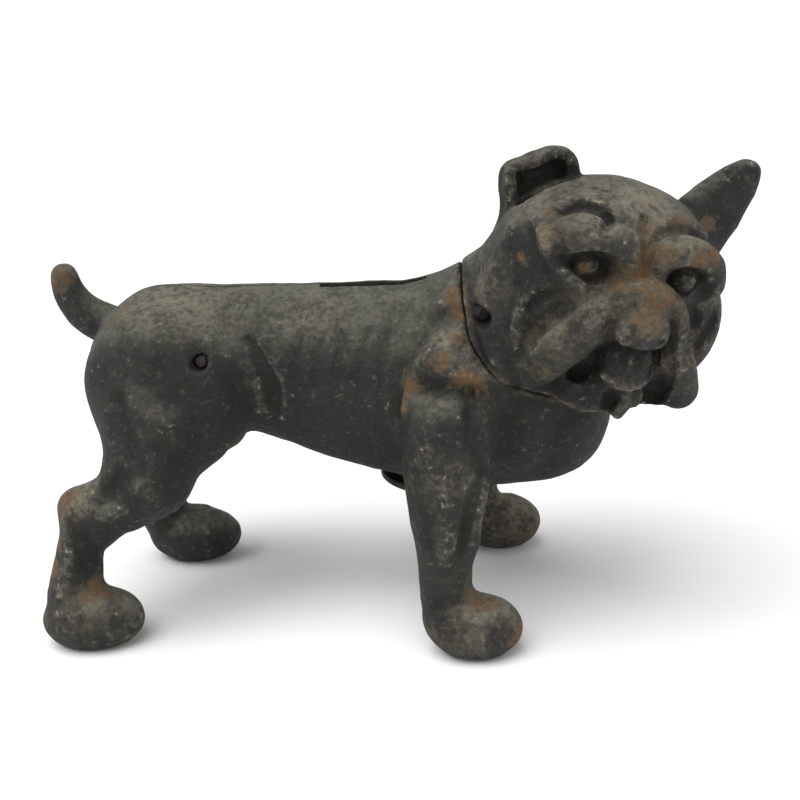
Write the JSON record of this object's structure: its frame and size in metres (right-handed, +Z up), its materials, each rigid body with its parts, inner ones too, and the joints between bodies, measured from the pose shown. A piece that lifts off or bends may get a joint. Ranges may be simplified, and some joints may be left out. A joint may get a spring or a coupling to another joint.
{
  "type": "figural animal coin bank",
  "caption": "Cast-iron bulldog coin bank: two body halves, separate turned head, coin slot in the back and a round stopper under the chest.",
  "frame": {"origin": "middle of the bank's outline, on the surface the paws stand on", "axes": "+X towards the chest and head, +Y to the dog's left, +Z up"},
  "size_m": [0.255, 0.115, 0.166],
  "materials": {
    "cast_iron": "rough sand-cast, weathered charcoal with rust in the folds",
    "screw_steel": "dull oxidised steel",
    "stopper_rubber": "matt black"
  },
  "bodies": {
    "bank": {"right_body_half": "cast_iron", "left_body_half": "cast_iron", "head": "cast_iron", "haunch_screw": "screw_steel", "neck_screw": "screw_steel"},
    "stopper": {"trap_plug": "stopper_rubber"}
  },
  "joints": [
    {"name": "stopper_pull", "type": "slide", "parent": "bank", "child": "stopper", "axis": [-0.1908, 0, -0.9816], "range_m": [0, 0.03]}
  ]
}
